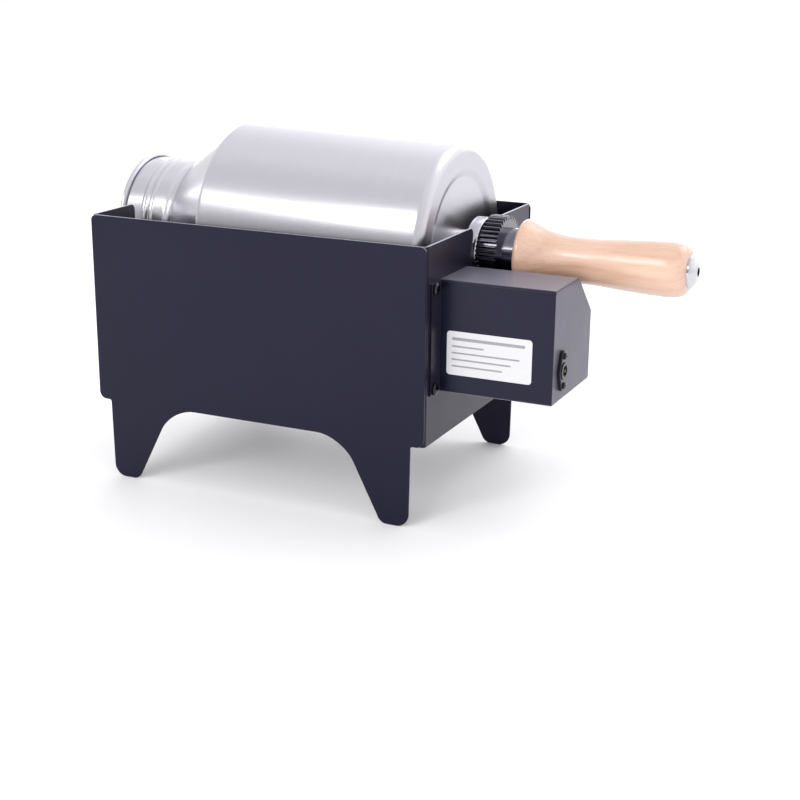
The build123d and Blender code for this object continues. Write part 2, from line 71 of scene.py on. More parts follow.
def named(name):  # the primitive that was just added, with its place put into its mesh
    obj = bpy.context.object
    obj.name = name
    obj.data.name = name
    bpy.ops.object.transform_apply(location=True, rotation=True, scale=True)
    return obj


def pickVerts(obj, test):
    bpy.ops.mesh.select_mode(type="VERT")
    bpy.ops.mesh.select_all(action="DESELECT")
    mesh = bmesh.from_edit_mesh(obj.data)
    for vert in mesh.verts:
        vert.select_set(test(vert.co))
    mesh.select_flush_mode()
    bmesh.update_edit_mesh(obj.data)


def pickEdges(obj, test):
    bpy.ops.mesh.select_mode(type="EDGE")
    bpy.ops.mesh.select_all(action="DESELECT")
    mesh = bmesh.from_edit_mesh(obj.data)
    for edge in mesh.edges:
        edge.select_set(test(edge.verts[0].co, edge.verts[1].co))
    mesh.select_flush_mode()
    bmesh.update_edit_mesh(obj.data)


def pickFaces(obj, test):
    bpy.ops.mesh.select_mode(type="FACE")
    bpy.ops.mesh.select_all(action="DESELECT")
    mesh = bmesh.from_edit_mesh(obj.data)
    for face in mesh.faces:
        face.select_set(test(face.calc_center_median(), face.normal))
    mesh.select_flush_mode()
    bmesh.update_edit_mesh(obj.data)


def roundCorner(obj, corner, radius, segments):  # one corner of a flat outline or a line
    mesh = bmesh.from_edit_mesh(obj.data)
    vert = min(mesh.verts, key=lambda v: (v.co - corner).length)
    at = vert.co.copy()
    ways = [edge.other_vert(vert).co - at for edge in vert.link_edges]
    reach = radius * mm / tan(ways[0].angle(ways[1]) / 2)
    pickVerts(obj, lambda co: (co - at).length < touch)
    bpy.ops.mesh.bevel(offset=reach, segments=segments, affect="VERTICES")


def giveThickness(obj, thickness, offset):
    makeActive(obj)
    wall = obj.modifiers.new("wall", "SOLIDIFY")
    wall.thickness = thickness * mm
    wall.offset = offset
    wall.use_even_offset = True
    bpy.ops.object.modifier_apply(modifier=wall.name)


def roundEdges(obj, width, segments=3, angle=35):  # every sharp edge gets a small round
    makeActive(obj)
    bevel = obj.modifiers.new("edges", "BEVEL")
    bevel.width = width * mm
    bevel.segments = segments
    bevel.limit_method = "ANGLE"
    bevel.angle_limit = radians(angle)
    bpy.ops.object.modifier_apply(modifier=bevel.name)
    bpy.ops.object.shade_smooth_by_angle(angle=radians(angle))
    even = obj.modifiers.new("shade", "WEIGHTED_NORMAL")
    even.keep_sharp = True
    bpy.ops.object.modifier_apply(modifier=even.name)


nodeCopy = {"merge": 0.004, "flat": 0.4}  # millimetres between points, degrees between faces


def copyNode(node, name):  # a CAD node's shape as a closed mesh of its own
    obj = bpy.data.objects.new(name, nodes[node].data.copy())
    scene.collection.objects.link(obj)
    obj.data.name = name
    obj.data.materials.clear()
    openMesh(obj)
    bpy.ops.mesh.customdata_custom_splitnormals_clear()
    bpy.ops.mesh.select_all(action="SELECT")
    bpy.ops.mesh.remove_doubles(threshold=nodeCopy["merge"] * mm)
    bpy.ops.mesh.dissolve_limited(angle_limit=radians(nodeCopy["flat"]))
    closeMesh()
    return obj


def copyPiece(obj, name, shift):
    twin = bpy.data.objects.new(name, obj.data.copy())
    scene.collection.objects.link(twin)
    twin.data.name = name
    twin.data.transform(Matrix.Translation(shift))
    return twin


def drawLine(name, corners, segments):  # a line of (x, radius, rounding) beside the drum's axis
    clearSelection()
    bpy.ops.mesh.primitive_plane_add(size=mm)
    obj = named(name)
    openMesh(obj)
    bpy.ops.mesh.select_all(action="SELECT")
    bpy.ops.mesh.merge(type="CENTER")
    points = [spot(x, drumAxis[0], drumAxis[1] + radius) for x, radius, rounding in corners]
    bpy.ops.transform.translate(value=points[0])
    for start, end in zip(points, points[1:]):
        bpy.ops.mesh.extrude_vertices_move(TRANSFORM_OT_translate={"value": end - start})
    for point, (x, radius, rounding) in zip(points, corners):
        if rounding:
            roundCorner(obj, point, rounding, segments)
    return obj


def spinLine(obj, steps):  # turns the line in the open mesh round the drum's axis
    bpy.ops.mesh.select_all(action="SELECT")
    bpy.ops.mesh.spin(steps=steps, angle=2 * pi, center=spot(0, *drumAxis), axis=(1, 0, 0))
    bpy.ops.mesh.select_all(action="SELECT")
    bpy.ops.mesh.remove_doubles(threshold=touch)
    bpy.ops.mesh.normals_make_consistent(inside=False)
    closeMesh()


def dress(obj, material, body, slot, *standsFor):
    obj.data.materials.append(material)
    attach(obj, body)
    if standsFor:
        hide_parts(*standsFor)


def recoat(obj, material, test):  # a second finish on some of a piece's faces
    obj.data.materials.append(material)
    for face in obj.data.polygons:
        if test(face):
            face.material_index = 1


def dressNode(node, material):
    for holder in nodes[node].material_slots:
        holder.material = material


# materials: small makers for the patterns that they share

def startMaterial(name, colour, roughness, metallic=0.0, **fixed):
    material = bpy.data.materials.new(name)
    material.use_nodes = True
    material.diffuse_color = (*colour, 1)
    tree = material.node_tree
    shader = tree.nodes["Principled BSDF"]
    shader.inputs["Base Color"].default_value = (*colour, 1)
    shader.inputs["Roughness"].default_value = roughness
    shader.inputs["Metallic"].default_value = metallic
    for socket, value in fixed.items():
        shader.inputs[socket].default_value = value
    return material, tree, shader


def addNode(tree, kind, settings, inputs):
    made = tree.nodes.new(kind)
    for key, value in settings.items():
        setattr(made, key, value)
    for key, value in inputs.items():
        if isinstance(value, bpy.types.NodeSocket):
            tree.links.new(value, made.inputs[key])
        else:
            made.inputs[key].default_value = value
    return made


def objectPlace(tree, scale=(1, 1, 1), shift=(0, 0, 0)):
    coords = tree.nodes.new("ShaderNodeTexCoord")
    mapping = addNode(tree, "ShaderNodeMapping", {}, {
        "Vector": coords.outputs["Object"], "Scale": scale, "Location": shift})
    return mapping.outputs["Vector"]


def noise(tree, vector, scale, detail=2.0, rough=0.5):
    made = addNode(tree, "ShaderNodeTexNoise", {}, {
        "Vector": vector, "Scale": scale, "Detail": detail, "Roughness": rough})
    return made.outputs["Fac"]


def spread(tree, value, low, high, fromLow=0.3, fromHigh=0.7):
    made = addNode(tree, "ShaderNodeMapRange", {}, {
        "Value": value, "From Min": fromLow, "From Max": fromHigh, "To Min": low, "To Max": high})
    return made.outputs["Result"]


def ramp(tree, value, stops):
    made = addNode(tree, "ShaderNodeValToRGB", {}, {"Fac": value})
    points = made.color_ramp.elements
    while len(points) < len(stops):
        points.new(0.5)
    for point, (position, colour) in zip(points, stops):
        point.position = position
        point.color = (*colour, 1)
    return made.outputs["Color"]


def blend(tree, factor, first, second, way="MIX"):
    made = addNode(tree, "ShaderNodeMix", {"data_type": "RGBA", "blend_type": way}, {
        "Factor": factor, 6: first, 7: second})  # sockets 6 and 7 are the node's two colours
    return made.outputs[2]


def addRelief(tree, shader, height, depth):  # relief, with its depth in millimetres
    made = addNode(tree, "ShaderNodeBump", {}, {"Height": height, "Distance": depth * mm, "Strength": 1.0})
    tree.links.new(made.outputs["Normal"], shader.inputs["Normal"])


def finishShader(tree, shader, colour, roughness, height, depth):
    tree.links.new(colour, shader.inputs["Base Color"])
    tree.links.new(roughness, shader.inputs["Roughness"])
    addRelief(tree, shader, height, depth)


def turnedPlace(tree, around):  # runs along a turned surface, with a slow change round its axis
    side = objectPlace(tree, (0, 1, 1), (0, -drumAxis[0] * mm, -drumAxis[1] * mm))
    reach = addNode(tree, "ShaderNodeVectorMath", {"operation": "LENGTH"}, {0: side})
    facing = addNode(tree, "ShaderNodeVectorMath", {"operation": "NORMALIZE"}, {0: side})
    slow = addNode(tree, "ShaderNodeVectorMath", {"operation": "SCALE"}, {
        0: facing.outputs["Vector"], "Scale": around * mm})
    along = addNode(tree, "ShaderNodeSeparateXYZ", {}, {0: objectPlace(tree)})
    path = addNode(tree, "ShaderNodeMath", {"operation": "ADD"}, {
        0: along.outputs["X"], 1: reach.outputs["Value"]})
    path = addNode(tree, "ShaderNodeCombineXYZ", {}, {"X": path.outputs["Value"]})
    both = addNode(tree, "ShaderNodeVectorMath", {"operation": "ADD"}, {
        0: path.outputs["Vector"], 1: slow.outputs["Vector"]})
    return both.outputs["Vector"]


powderCoat = {
    "deep": (0.0012, 0.0009, 0.0095), "pale": (0.002, 0.0016, 0.0125), "tint": (0.85, 0.82, 1.0),
    "gloss": 0.33, "haze": 0.1, "boxGloss": 0.38, "hazeAndPaintedSheen": 0.46, "paintedHighlightGloss": 1.0, "paintedHighlightSheen": 1.0,
    "hazeSpread": 0.4, "roughness": (0.3, 0.36),
    "grain": 1800, "peel": 420, "cloud": 28, "relief": 0.005,
}


def makePowderCoat(name, look, gloss, haze):
    material, tree, shader = startMaterial(name, look["deep"], look["roughness"][0], **{
        "Specular IOR Level": gloss, "Specular Tint": (*look["tint"], 1), "Sheen Weight": haze,
        "Sheen Roughness": look["hazeSpread"], "Sheen Tint": (*look["tint"], 1)})
    place = objectPlace(tree)
    fleck = noise(tree, place, look["grain"], 3.0, 0.6)
    peel = noise(tree, place, look["peel"], 1.0)  # the slight unevenness of baked paint
    cloud = noise(tree, place, look["cloud"], 3.0)
    colour = ramp(tree, fleck, [(0.35, look["deep"]), (0.7, look["pale"])])
    finishShader(tree, shader, colour, spread(tree, cloud, *look["roughness"]), peel, look["relief"])
    return material


drumSteel = {
    "bright": (0.662, 0.65, 0.692), "dull": (0.642, 0.63, 0.674), "roughness": (0.245, 0.265),
    "lines": 4200, "lineLength": 3.0, "relief": 0.0002, "brushed": 0.3,
    # endFace makes the flat end rougher and darkens its colour as painted shade
    "endFace": {"start": 97.6, "fade": 2.5, "rougher": 0.08, "tone": 0.88},
}
turnedSteel = {
    "bright": (0.68, 0.67, 0.68), "dull": (0.56, 0.555, 0.57), "roughness": (0.16, 0.26),
    "lines": 3500, "lineLength": 2.0, "relief": 0.0008, "brushed": 0.6,
}
bearingSteel = {
    "bright": (0.7, 0.69, 0.73), "dull": (0.64, 0.63, 0.67), "roughness": (0.12, 0.18),
    "lines": 5000, "lineLength": 1.0, "relief": 0.0005, "brushed": 0.5,
}


def makeTurned(name, look):  # spun or turned metal with fine lines round the axis
    material, tree, shader = startMaterial(name, look["bright"], look["roughness"][0], 1.0, **{
        "Anisotropic": look["brushed"], "Anisotropic Rotation": 0.25})  # glints stretch across the lines
    circling = addNode(tree, "ShaderNodeTangent", {"direction_type": "RADIAL", "axis": "X"}, {})
    tree.links.new(circling.outputs["Tangent"], shader.inputs["Tangent"])
    place = turnedPlace(tree, look["lineLength"])
    fine = noise(tree, place, look["lines"], 3.0, 0.65)
    broad = noise(tree, place, look["lines"] * 0.2, 2.0, 0.5)
    both = addNode(tree, "ShaderNodeMath", {"operation": "ADD"}, {0: fine, 1: broad}).outputs["Value"]
    colour = ramp(tree, spread(tree, both, 0, 1, 0.7, 1.3), [(0.0, look["dull"]), (1.0, look["bright"])])
    rough = spread(tree, both, *look["roughness"], 0.7, 1.3)
    if "endFace" in look:  # the flat end is rougher than the wall, and its colour is darkened as painted shade
        end = look["endFace"]
        along = addNode(tree, "ShaderNodeSeparateXYZ", {}, {0: objectPlace(tree)})
        face = spread(tree, along.outputs["X"], 0, 1,
                      spot(end["start"] - end["fade"], 0, 0).x, spot(end["start"], 0, 0).x)
        rough = addNode(tree, "ShaderNodeMath", {"operation": "MULTIPLY_ADD"}, {
            0: face, 1: end["rougher"], 2: rough}).outputs["Value"]
        # the end's colour is multiplied down: painted shade
        colour = blend(tree, face, colour, (end["tone"], end["tone"], end["tone"], 1), "MULTIPLY")
    finishShader(tree, shader, colour, rough, fine, look["relief"])
    return material


sheetGrain = {"cloud": 160, "scratch": (60, 2500, 2500)}
zincSheet = {
    "bright": (0.6, 0.61, 0.62), "dull": (0.48, 0.49, 0.51), "roughness": (0.26, 0.4), "relief": 0.002}
motorMetal = {
    "bright": (0.56, 0.57, 0.58), "dull": (0.44, 0.45, 0.47), "roughness": (0.28, 0.42), "relief": 0.002}
blackGear = {
    "bright": (0.2, 0.196, 0.23), "dull": (0.15, 0.147, 0.175), "roughness": (0.11, 0.16), "relief": 0.001}
blackScrew = {
    "bright": (0.07, 0.068, 0.08), "dull": (0.03, 0.029, 0.036), "roughness": (0.14, 0.22), "relief": 0.002}
contactNickel = {
    "bright": (0.74, 0.72, 0.68), "dull": (0.62, 0.6, 0.57), "roughness": (0.14, 0.24), "relief": 0.001}
contactBrass = {
    "bright": (0.78, 0.6, 0.3), "dull": (0.62, 0.46, 0.2), "roughness": (0.2, 0.32), "relief": 0.001}


def makeSheetMetal(name, look):  # plated sheet and housings: cloudy, with fine scratches
    material, tree, shader = startMaterial(name, look["bright"], look["roughness"][0], 1.0)
    cloud = noise(tree, objectPlace(tree), sheetGrain["cloud"], 4.0, 0.6)
    scratch = noise(tree, objectPlace(tree, sheetGrain["scratch"]), 1.0, 2.0)
    colour = ramp(tree, cloud, [(0.3, look["dull"]), (0.7, look["bright"])])
    finishShader(tree, shader, colour, spread(tree, cloud, *look["roughness"]), scratch, look["relief"])
    return material


jackBlack = {
    "deep": (0.006, 0.0055, 0.009), "pale": (0.009, 0.0085, 0.013), "tint": (0.88, 0.85, 1.0),
    "roughness": (0.12, 0.18), "flow": 90, "grain": 2600, "relief": 0.0008,
}
rollerGrey = {
    "deep": (0.03, 0.03, 0.033), "pale": (0.045, 0.045, 0.05), "tint": (1.0, 1.0, 1.0),
    "roughness": (0.36, 0.48), "flow": 90, "grain": 1800, "relief": 0.005,
}
leadRed = {
    "deep": (0.28, 0.02, 0.018), "pale": (0.36, 0.03, 0.026), "tint": (1.0, 1.0, 1.0),
    "roughness": (0.38, 0.5), "flow": 90, "grain": 2400, "relief": 0.004,
}


def makeMoulded(name, look):  # moulded plastic: faint flow marks and a fine skin
    material, tree, shader = startMaterial(name, look["deep"], look["roughness"][0], 0.0, **{
        "Specular Tint": (*look["tint"], 1)})
    place = objectPlace(tree)
    flow = noise(tree, place, look["flow"], 3.0)
    skin = noise(tree, place, look["grain"], 2.0)
    colour = ramp(tree, flow, [(0.3, look["deep"]), (0.7, look["pale"])])
    finishShader(tree, shader, colour, spread(tree, flow, *look["roughness"]), skin, look["relief"])
    return material


beech = {
    "pale": (0.65, 0.415, 0.295), "warm": (0.6, 0.365, 0.25), "line": (0.5, 0.28, 0.18),
    "fleck": (0.43, 0.23, 0.145), "roughness": (0.34, 0.44), "relief": 0.006,
    "lacquer": 1.95, "lacquerBlur": 0.3,
    "heart": (0.004, -0.034, -0.118), "heartStretch": (0.10, 1, 1), "ringWidth": 3.2, "ringWaver": 2.2,
    "grainSize": (30, 700, 700), "fleckSize": (190, 1500, 1500), "toneSize": (9, 45, 45),
}


def makeBeech(look):
    material, tree, shader = startMaterial("beechLacquer", look["pale"], 0.4, **{
        "Coat Weight": 1.0, "Coat Roughness": look["lacquerBlur"], "Coat IOR": look["lacquer"]})
    heart = objectPlace(tree, look["heartStretch"], look["heart"])  # the tree's middle, outside the grip
    rings = addNode(tree, "ShaderNodeTexWave", {
        "wave_type": "RINGS", "rings_direction": "X", "wave_profile": "SIN"}, {
        "Vector": heart, "Scale": 0.5 / (look["ringWidth"] * mm) / pi, "Distortion": look["ringWaver"],
        "Detail": 2.0, "Detail Scale": 60.0})
    grain = noise(tree, objectPlace(tree, look["grainSize"]), 1.0, 3.0, 0.6)
    fleck = noise(tree, objectPlace(tree, look["fleckSize"]), 1.0, 1.0)
    tone = noise(tree, objectPlace(tree, look["toneSize"]), 1.0, 2.0)
    colour = ramp(tree, rings.outputs["Fac"], [
        (0.0, look["pale"]), (0.75, look["pale"]), (1.0, look["warm"])])
    colour = blend(tree, spread(tree, grain, 0.0, 0.55, 0.45, 0.75), colour, (*look["line"], 1))
    colour = blend(tree, spread(tree, tone, 0.0, 0.45, 0.4, 0.7), colour, (*look["warm"], 1))
    colour = blend(tree, spread(tree, fleck, 0.0, 0.4, 0.68, 0.76), colour, (*look["fleck"], 1))
    finishShader(tree, shader, colour, spread(tree, grain, *look["roughness"]), grain, look["relief"])
    return material


labelFilm = {"pale": (0.59, 0.59, 0.6), "deep": (0.565, 0.565, 0.575), "roughness": 0.42,
             "fibre": 900, "relief": 0.002}
labelInk = {"pale": (0.3, 0.3, 0.32), "deep": (0.24, 0.24, 0.26), "roughness": 0.5,
            "fibre": 900, "relief": 0.002}


def makePaper(name, look):
    material, tree, shader = startMaterial(name, look["pale"], look["roughness"])
    fibre = noise(tree, objectPlace(tree), look["fibre"], 3.0)
    colour = ramp(tree, fibre, [(0.35, look["deep"]), (0.65, look["pale"])])
    tree.links.new(colour, shader.inputs["Base Color"])
    addRelief(tree, shader, fibre, look["relief"])
    return material


coatMaterial = makePowderCoat("standCoat", powderCoat, powderCoat["gloss"], powderCoat["haze"])
# a sheenier copy of the coat: the coat's grazing haze, raised as painted sheen for the box and the left
# plate
paintedSheenCoatMaterial = makePowderCoat("hazeAndPaintedSheenCoat", powderCoat, powderCoat["boxGloss"], powderCoat["hazeAndPaintedSheen"])
# a glossier, sheenier copy of the coat, put on upward faces as a painted highlight
paintedHighlightMaterial = makePowderCoat("paintedHighlightCoat", powderCoat, powderCoat["paintedHighlightGloss"], powderCoat["paintedHighlightSheen"])
drumMaterial = makeTurned("spunSteel", drumSteel)
turnedMaterial = makeTurned("turnedSteel", turnedSteel)
bearingMaterial = makeTurned("bearingSteel", bearingSteel)
zincMaterial = makeSheetMetal("zincSheet", zincSheet)
motorMaterial = makeSheetMetal("motorMetal", motorMetal)
screwMaterial = makeSheetMetal("blackScrew", blackScrew)
brassMaterial = makeSheetMetal("contactBrass", contactBrass)
nickelMaterial = makeSheetMetal("contactNickel", contactNickel)
gearMaterial = makeSheetMetal("blackGear", blackGear)
jackMaterial = makeMoulded("jackBlack", jackBlack)
rollerMaterial = makeMoulded("rollerGrey", rollerGrey)
leadMaterial = makeMoulded("leadRed", leadRed)
beechMaterial = makeBeech(beech)
labelMaterial = makePaper("labelFilm", labelFilm)
inkMaterial = makePaper("labelInk", labelInk)
print("materials made")


# long walls of the stand, cut from sheet with two legs each

sidePanel = {
    "length": 228.0, "top": 170.0, "skirt": 51.0, "sheet": 1.5, "outerFace": 85.0,
    "legRoot": 105.4, "footOuter": 104.6, "footInner": 86.6, "archTop": 60.4,
    "topRound": 3.5, "skirtRound": 5.0, "rootRound": 1.5, "footOuterRound": 8.0, "footInnerRound": 6.0,
    "archRound": 28.0, "edge": 0.4,
}


def makeFrontPanel(size):
    half, face, skirt = size["length"] / 2, -size["outerFace"], size["skirt"]
    clearSelection()
    bpy.ops.mesh.primitive_plane_add(
        size=1, rotation=(pi / 2, 0, 0), location=spot(0, face, (size["top"] + skirt) / 2))
    bpy.context.object.scale = (size["length"] * mm, (size["top"] - skirt) * mm, 1)
    obj = named("frontPanelSheet")
    openMesh(obj)
    for cut in (-size["legRoot"], -size["archTop"], size["archTop"], size["legRoot"]):
        bpy.ops.mesh.select_all(action="SELECT")
        bpy.ops.mesh.bisect(plane_co=spot(cut, 0, 0), plane_no=(1, 0, 0))
    for side in (-1, 1):  # a leg grows out of the lower edge and is tapered at its foot
        middle = spot(side * (size["legRoot"] + size["archTop"]) / 2, face, skirt)
        pickEdges(obj, lambda a, b: ((a + b) / 2 - middle).length < mm)
        bpy.ops.mesh.extrude_region_move(TRANSFORM_OT_translate={"value": (0, 0, -skirt * mm)})
        for old, new in ((size["legRoot"], size["footOuter"]), (size["archTop"], size["footInner"])):
            corner = spot(side * old, face, 0)
            pickVerts(obj, lambda co: (co - corner).length < touch)
            bpy.ops.transform.translate(value=(side * (new - old) * mm, 0, 0))
    bpy.ops.mesh.select_mode(type="FACE")
    bpy.ops.mesh.select_all(action="SELECT")
    bpy.ops.mesh.dissolve_faces()
    for side in (-1, 1):
        for x, z, radius, segments in (
            (half, size["top"], size["topRound"], 8),
            (half, skirt, size["skirtRound"], 8),
            (size["legRoot"], skirt, size["rootRound"], 4),
            (size["footOuter"], 0, size["footOuterRound"], 10),
            (size["footInner"], 0, size["footInnerRound"], 8),
            (size["archTop"], skirt, size["archRound"], 20),
        ):
            roundCorner(obj, spot(side * x, face, z), radius, segments)
    closeMesh()
    giveThickness(obj, size["sheet"], -1)
    roundEdges(obj, size["edge"])
    return obj


frontPanel = makeFrontPanel(sidePanel)
rearShift = Vector((0, (2 * sidePanel["outerFace"] - sidePanel["sheet"]) * mm, 0))
rearPanel = copyPiece(frontPanel, "rearPanelSheet", rearShift)
dress(frontPanel, coatMaterial, "stand", "powder_coat", "front_panel")
dress(rearPanel, coatMaterial, "stand", "powder_coat", "rear_panel")


# bent end plates and the motor box

bentSheet = {"plateEdge": 0.4, "boxEdge": 0.32, "flangeEnd": 117.0, "upward": 0.3}
leftPlate = copyNode("left_end_plate", "leftPlateSheet")
rightPlate = copyNode("right_end_plate", "rightPlateSheet")
motorBox = copyNode("motor_cover", "motorBoxSheet")
# the left plate and the box take the sheenier copy, painted sheen; the right plate keeps the plainer coat
for piece, edge, material, node in (
    (leftPlate, bentSheet["plateEdge"], paintedSheenCoatMaterial, "left_end_plate"),
    (rightPlate, bentSheet["plateEdge"], coatMaterial, "right_end_plate"),
    (motorBox, bentSheet["boxEdge"], paintedSheenCoatMaterial, "motor_cover"),
):
    roundEdges(piece, edge)
    dress(piece, material, "stand", "powder_coat", node)
flangeEnd = spot(bentSheet["flangeEnd"], 0, 0).x
recoat(motorBox, coatMaterial, lambda face: face.center.x < flangeEnd)  # the flanges get the plainer coat: painted shade, as they sit in the dark strip beside the box
for piece in (frontPanel, rearPanel, leftPlate, rightPlate):  # upward faces get a glossier, sheenier copy of the coat: a painted highlight along the upper edges
    recoat(piece, paintedHighlightMaterial, lambda face: face.normal.z > bentSheet["upward"])
print("sheet metal done")


# drum: the wall's middle line from the rolled lip to the end disc, spun and thickened

drumShell = {
    "wall": 1.0, "steps": 256, "cornerSegments": 10, "smooth": 40,
    "lipX": -125.2, "lipRadius": 43.0, "curl": 1.2, "curlStart": -20, "curlStep": 23, "curlPoints": 12,
    "lipSeat": 1.6, "lipRound": 0.8, "neck": 41.5, "neckEnd": -94.6, "neckRound": 4.0,
    "beads": (-110.0, -104.6), "beadHeight": 0.85, "beadHalf": 1.6, "beadRound": 1.2,
    "valley": (-90.2, 39.5), "valleyRound": 5.0, "shoulder": (-51.2, 69.6), "shoulderRound": 4.0,
    "end": (98.0, 64.3), "endRound": 6.0, "ringInner": 49.5, "disc": (96.5, 44.5), "stepRound": 5.0,
    "hole": 8.0,
}


def makeDrum(size):
    line = []
    for step in range(size["curlPoints"]):  # the lip is rolled outwards, back onto the neck
        turn = radians(size["curlStart"] + step * size["curlStep"])
        along, out = size["curl"] * cos(turn), size["curl"] * sin(turn)
        line.append((size["lipX"] + along, size["lipRadius"] + out, 0))
    line.append((size["lipX"] + size["lipSeat"], size["neck"], size["lipRound"]))
    half, beadRound = size["beadHalf"], size["beadRound"]
    for x in size["beads"]:
        line += [(x - half, size["neck"], beadRound), (x, size["neck"] + size["beadHeight"], beadRound),
                 (x + half, size["neck"], beadRound)]
    line += [
        (size["neckEnd"], size["neck"], size["neckRound"]),
        (*size["valley"], size["valleyRound"]),
        (*size["shoulder"], size["shoulderRound"]),
        (*size["end"], size["endRound"]),
        (size["end"][0], size["ringInner"], size["stepRound"]),
        (*size["disc"], size["stepRound"]),
        (size["disc"][0], size["hole"], 0),
    ]
    obj = drawLine("drumShellSpun", line, size["cornerSegments"])
    spinLine(obj, size["steps"])
    giveThickness(obj, size["wall"], 0)
    makeActive(obj)
    bpy.ops.object.shade_smooth_by_angle(angle=radians(size["smooth"]))
    return obj


drum = makeDrum(drumShell)
dress(drum, drumMaterial, "drum", "drum_steel", "drum_shell")
print("drum done,", len(drum.data.polygons), "faces")


# wooden grip: its outline is drawn as a curve and turned

grip = {
    "left": 138.5, "rim": 21.9, "rimRound": 2.6, "rimSteps": 7, "rimEnd": 141.7,
    "outline": [(143.4, 21.3), (146.6, 19.9), (152.4, 17.3), (160.2, 15.25), (178.5, 13.9), (203.0, 15.25),
                (222.0, 16.2), (234.0, 16.05), (239.2, 14.6), (241.5, 12.2)],
    "right": 242.0, "boltSeat": 10.6, "bore": 5.0, "curveSteps": 8, "steps": 128, "smooth": 17,
}


def makeGrip(size):
    clearSelection()
    bpy.ops.curve.primitive_bezier_curve_add()
    obj = bpy.context.object
    corners = [(size["left"], size["bore"])]
    for step in range(size["rimSteps"]):  # a quarter round at the rim, then a crisp line to the flare
        turn, radius = radians(step * 15), size["rimRound"]
        corners.append((size["left"] + radius * (1 - cos(turn)), size["rim"] + radius * (sin(turn) - 1)))
    corners.append((size["rimEnd"], size["rim"]))
    tail = [(size["right"], size["boltSeat"]), (size["right"], size["bore"]), (size["left"], size["bore"])]
    points = corners + size["outline"] + tail
    spline = obj.data.splines[0]
    spline.bezier_points.add(len(points) - len(spline.bezier_points))
    for point, (x, radius) in zip(spline.bezier_points, points):
        smooth = (x, radius) in size["outline"]
        point.handle_left_type = point.handle_right_type = "AUTO" if smooth else "VECTOR"
        point.co = spot(x, drumAxis[0], drumAxis[1] + radius)
    obj.data.resolution_u = size["curveSteps"]
    obj.matrix_world = Matrix.Identity(4)
    bpy.ops.object.convert(target="MESH")
    obj = named("gripTurned")
    openMesh(obj)
    spinLine(obj, size["steps"])
    makeActive(obj)
    bpy.ops.object.shade_smooth_by_angle(angle=radians(size["smooth"]))
    return obj


handle = makeGrip(grip)
dress(handle, beechMaterial, "drum", "beech", "wooden_handle")
print("grip done,", len(handle.data.polygons), "faces")


# pieces that keep the frame's shape, with their sharp edges rounded

for node, name, body, material, slot, edge in (
    ("drive_gear", "driveGearTeeth", "drum", gearMaterial, "gear_steel", 0.16),
    ("drive_pinion", "pinionTeeth", "pinion", gearMaterial, "gear_steel", 0.16),
    ("handle_bolt", "gripBolt", "drum", turnedMaterial, "turned_steel", 0.25),
    ("drum_shaft", "drumShaftTurned", "drum", turnedMaterial, "turned_steel", 0.3),
    ("bearing_outer_ring", "bearingOuter", "drum_carrier", bearingMaterial, "bearing_steel", 0.2),
    ("bearing_inner_ring", "bearingInner", "drum", bearingMaterial, "bearing_steel", 0.2),
    ("power_jack", "powerSocket", "stand", jackMaterial, "jack_plastic", 0.12),
    ("front_roller", "frontRollerTurned", "front_roller", rollerMaterial, "roller_plastic", 0.25),
    ("rear_roller", "rearRollerTurned", "rear_roller", rollerMaterial, "roller_plastic", 0.25),
    ("roller_pins", "rollerStuds", "stand", turnedMaterial, "turned_steel", 0.3),
):
    piece = copyNode(node, name)
    roundEdges(piece, edge, segments=2, angle=30)
    dress(piece, material, body, slot, node)

boltSocket = {"start": 243.9, "end": 246.65, "radius": 2.95}


# the faces inside the bolt's hexagon socket, which get painted shade
def socketShadeMask(face):
    x, y, z = face.center
    reach = Vector((y - drumAxis[0] * mm, z - drumAxis[1] * mm)).length
    start, end = spot(boltSocket["start"], 0, 0).x, spot(boltSocket["end"], 0, 0).x
    return reach < boltSocket["radius"] * mm and start < x < end


recoat(bpy.data.objects["gripBolt"], screwMaterial, socketShadeMask)  # the bolt's hexagon is painted dark inside: painted shade in the recess
print("turned and moulded pieces done")


# pan-head screws with a cross recess, modelled once for each size

screwHead = {
    "sides": 40, "skirt": 0.5, "crown": [(0.93, 0.16), (0.8, 0.15), (0.6, 0.12), (0.32, 0.07)],
    "crossDepth": 0.62, "crossTaper": 0.7, "smooth": 32,
}
coverScrew = {
    "head": 3.5, "height": 2.4, "shank": 2.0, "length": 5.2, "cross": 3.8, "slot": 0.8,
    "places": [(115.2, -74.0, 144.5), (115.2, -74.0, 84.7), (115.2, 10.6, 115.9), (115.2, 10.6, 84.7)],
}
jackScrew = {
    "head": 2.0, "height": 1.2, "shank": 1.0, "length": 6.4, "cross": 2.3, "slot": 0.5,
    "places": [(186.7, -51.5, 108.1), (186.7, -51.5, 90.5)],
}


